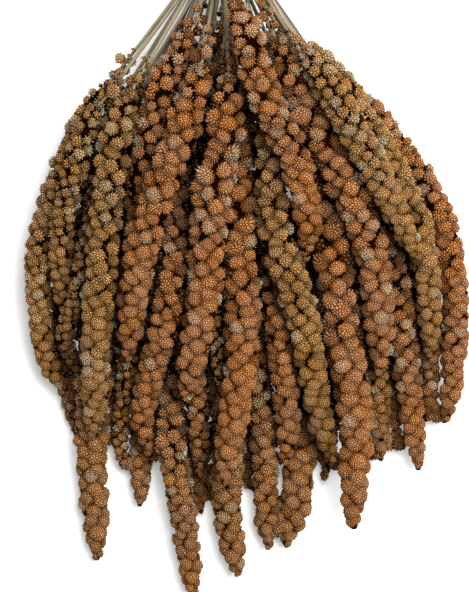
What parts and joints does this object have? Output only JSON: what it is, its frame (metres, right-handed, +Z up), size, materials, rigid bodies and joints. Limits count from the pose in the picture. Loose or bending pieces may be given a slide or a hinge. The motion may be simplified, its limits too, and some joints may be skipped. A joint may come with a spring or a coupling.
{
  "type": "tied bunch of foxtail millet seed heads",
  "caption": "Dried foxtail millet seed heads tied by their stems into a bunch that lies flat, for decoration or bird feed.",
  "frame": {"origin": "on the surface it lies on, under the middle of the bunch's box", "axes": "+Z up from the surface, +Y along the bunch from the tips of the heads to the cut ends of the stems, +X to the right seen from above with the stems at the top"},
  "size_m": [0.2696, 0.4728, 0.0892],
  "materials": {
    "grain_orange": "dry, husky",
    "grain_olive": "dry, husky",
    "grain_brown": "dry, husky",
    "twig": "rough",
    "twine": "coarse"
  },
  "bodies": {
    "root": {"head_01": "grain_orange", "head_02": "grain_orange", "head_03": "grain_orange", "head_04": "grain_olive", "head_05": "grain_orange", "head_06": "grain_olive", "head_07": "grain_olive", "head_08": "grain_olive", "head_09": "grain_orange", "head_10": "grain_olive", "head_11": "grain_orange", "head_12": "grain_orange", "head_13": "grain_orange", "head_14": "grain_olive", "head_15": "grain_orange", "head_16": "grain_orange", "head_17": "grain_brown", "head_18": "grain_olive", "head_19": "grain_orange", "head_20": "grain_brown", "head_21": "grain_brown", "head_22": "grain_olive", "head_23": "grain_brown", "head_24": "grain_brown", "head_25": "grain_brown", "head_26": "grain_brown", "head_27": "grain_brown", "head_28": "grain_brown", "head_29": "grain_brown", "head_30": "grain_brown", "head_31": "grain_brown", "head_32": "grain_brown", "head_33": "grain_brown", "head_34": "grain_brown", "head_35": "grain_brown", "head_36": "grain_brown", "head_37": "grain_brown", "head_38": "grain_brown", "head_39": "grain_brown", "head_40": "grain_brown", "head_41": "grain_brown", "bare_twig": "twig", "tie": "twine"}
  },
  "joints": []
}
